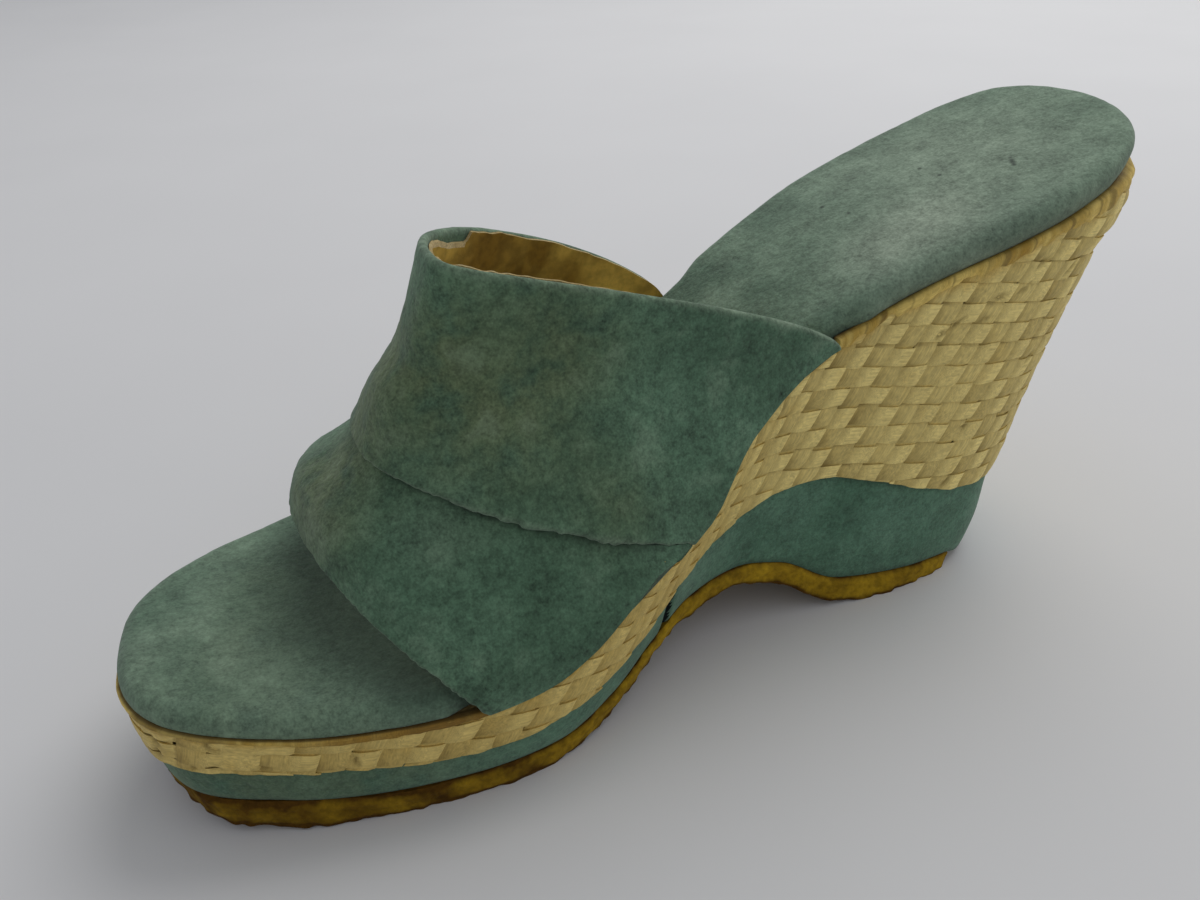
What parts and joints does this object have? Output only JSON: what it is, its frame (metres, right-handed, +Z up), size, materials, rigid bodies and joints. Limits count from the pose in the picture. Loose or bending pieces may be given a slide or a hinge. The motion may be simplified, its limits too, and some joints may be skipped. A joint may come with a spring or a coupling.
{
  "type": "wedge mule",
  "caption": "Open-toe slip-on wedge mule with a broad lapped suede upper, a padded footbed and a high raffia-wrapped wedge on a suede platform.",
  "frame": {"origin": "on the floor, under the middle of the shoe's box", "axes": "+X from toe to heel, +Y to the outer side of the foot, +Z up"},
  "size_m": [0.2314, 0.0858, 0.1024],
  "materials": {
    "outsole": "matt amber, darker at its worn edges",
    "platform_suede": "suede nap, grey green",
    "raffia": "woven straw strips, satin",
    "footbed_suede": "suede nap, grey green, paler with wear",
    "upper_suede": "suede nap, grey green, olive where it is soiled"
  },
  "bodies": {
    "root": {"outsole": "outsole", "platform": "platform_suede", "wedge": "raffia", "insole": "footbed_suede", "upper": "upper_suede"}
  },
  "joints": []
}
